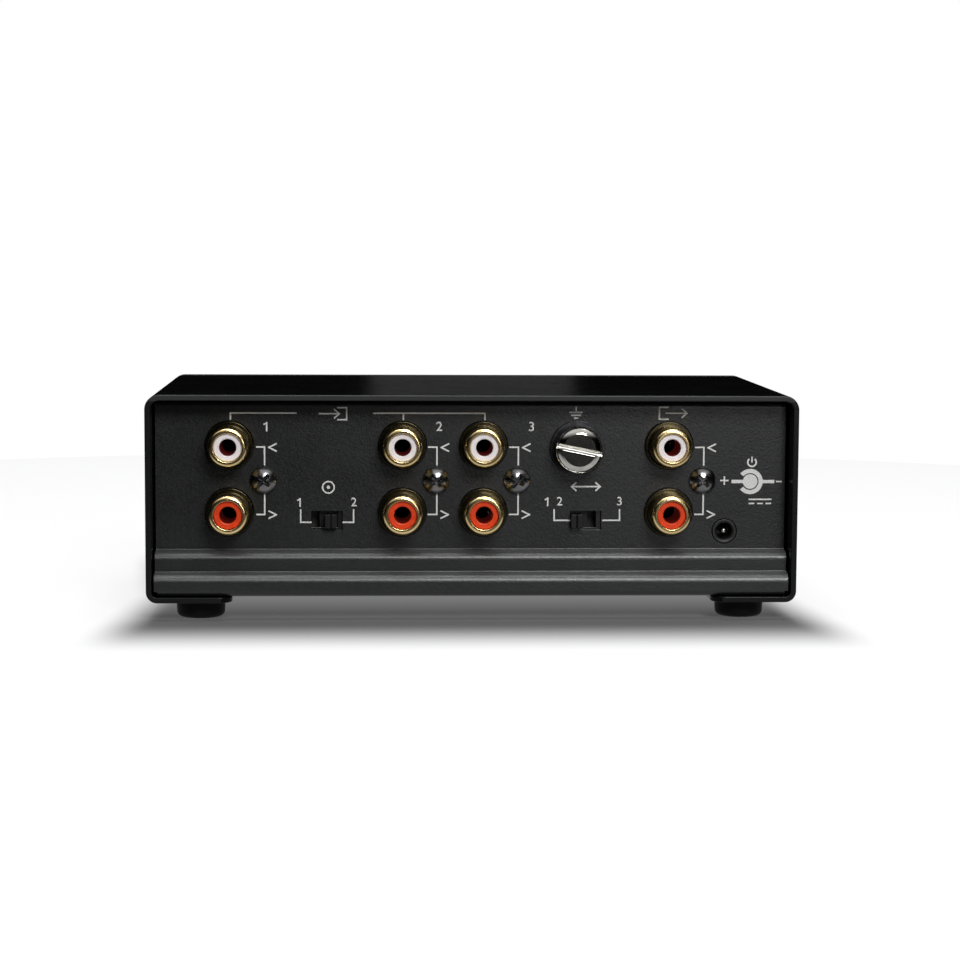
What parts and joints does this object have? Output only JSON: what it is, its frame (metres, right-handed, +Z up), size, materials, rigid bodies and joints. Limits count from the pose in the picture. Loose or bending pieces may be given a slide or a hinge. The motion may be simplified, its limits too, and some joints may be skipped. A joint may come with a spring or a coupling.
{
  "type": "phono preamp",
  "caption": "Low steel box with phono sockets in pairs, ground terminal, slide switches and power inlet on a stepped, recessed rear panel, on rubber feet.",
  "frame": {"origin": "centre of the footprint, on the surface that the feet stand on", "axes": "+Z up, +Y to the rear with the sockets, +X to the side of the moving coil sockets, which is the left when the rear is looked at"},
  "size_m": [0.135, 0.075, 0.0469],
  "materials": {
    "case_paint": "satin black powder coat, fine grain",
    "fascia_anodised": "black anodised, fine bead blast",
    "clear_plastic": "clear, polished",
    "zinc_steel": "zinc plated",
    "socket_plastic": "moulded, matt",
    "gilt": "gold plated, turned",
    "white_plastic": "moulded, smooth",
    "red_plastic": "moulded, smooth",
    "dark_screw_steel": "dark nickel plated",
    "terminal_nickel": "nickel plated, turned and knurled",
    "tinned_steel": "tin plated",
    "switch_laminate": "paper laminate",
    "knob_plastic": "moulded, matt",
    "rubber": "moulded rubber",
    "board_laminate": "green solder mask",
    "capacitor_sleeve": "shrink sleeve",
    "film_resin": "dipped resin",
    "chip_epoxy": "moulded epoxy",
    "resistor_lacquer": "lacquered"
  },
  "bodies": {
    "case": {"cover": "case_paint", "tray": "case_paint", "fascia": "fascia_anodised", "fascia_screws": "zinc_steel", "light_pipe": "clear_plastic", "lamp": "clear_plastic", "lamp_holder": "socket_plastic", "circuit_board": "board_laminate", "board_spacers": "zinc_steel", "board_screws": "zinc_steel", "coil_jack_housing": "socket_plastic", "magnet_jack_housing": "socket_plastic", "line_jack_housing": "socket_plastic", "output_jack_housing": "socket_plastic", "coil_left_shell": "gilt", "magnet_left_shell": "gilt", "line_left_shell": "gilt", "output_left_shell": "gilt", "coil_right_shell": "gilt", "magnet_right_shell": "gilt", "line_right_shell": "gilt", "output_right_shell": "gilt", "coil_left_insulator": "white_plastic", "magnet_left_insulator": "white_plastic", "line_left_insulator": "white_plastic", "output_left_insulator": "white_plastic", "coil_right_insulator": "red_plastic", "magnet_right_insulator": "red_plastic", "line_right_insulator": "red_plastic", "output_right_insulator": "red_plastic", "coil_jack_contacts": "gilt", "magnet_jack_contacts": "gilt", "line_jack_contacts": "gilt", "output_jack_contacts": "gilt", "jack_screws": "dark_screw_steel", "ground_nut": "zinc_steel", "ground_strap": "tinned_steel", "cartridge_switch_frame": "tinned_steel", "cartridge_switch_base": "switch_laminate", "input_switch_frame": "tinned_steel", "input_switch_base": "switch_laminate", "inlet_body": "socket_plastic", "inlet_pin": "tinned_steel", "foot_rear_left": "rubber", "foot_rear_right": "rubber", "foot_front_left": "rubber", "foot_front_right": "rubber", "foot_screws": "zinc_steel", "clinch_nuts": "zinc_steel", "electrolytic_capacitors": "capacitor_sleeve", "film_capacitors": "film_resin", "op_amps": "chip_epoxy", "resistors": "resistor_lacquer", "regulator": "chip_epoxy"},
    "cartridge_knob": {"cartridge_switch_knob": "knob_plastic"},
    "input_knob": {"input_switch_knob": "knob_plastic"},
    "ground_feed": {"ground_washer": "terminal_nickel"},
    "ground_turn": {"ground_screw": "terminal_nickel"}
  },
  "joints": [
    {"name": "cartridge_switch_slide", "type": "slide", "parent": "case", "child": "cartridge_knob", "axis": [1, 0, 0], "range_m": [0, 0.0028]},
    {"name": "input_switch_slide", "type": "slide", "parent": "case", "child": "input_knob", "axis": [-1, 0, 0], "range_m": [0, 0.0028]},
    {"name": "ground_screw_feed", "type": "slide", "parent": "case", "child": "ground_feed", "axis": [0, 1, 0], "range_m": [0, 0.0021]},
    {"name": "ground_screw_turn", "type": "hinge", "parent": "ground_feed", "child": "ground_turn", "pos_m": [-0.022, 0.0341, 0.0355], "axis": [0, 1, 0], "range_deg": [0, 1080]}
  ],
  "couplings": [
    {"joint": "ground_screw_turn", "follows": "ground_screw_feed", "rad_per_m": 8975.9}
  ]
}
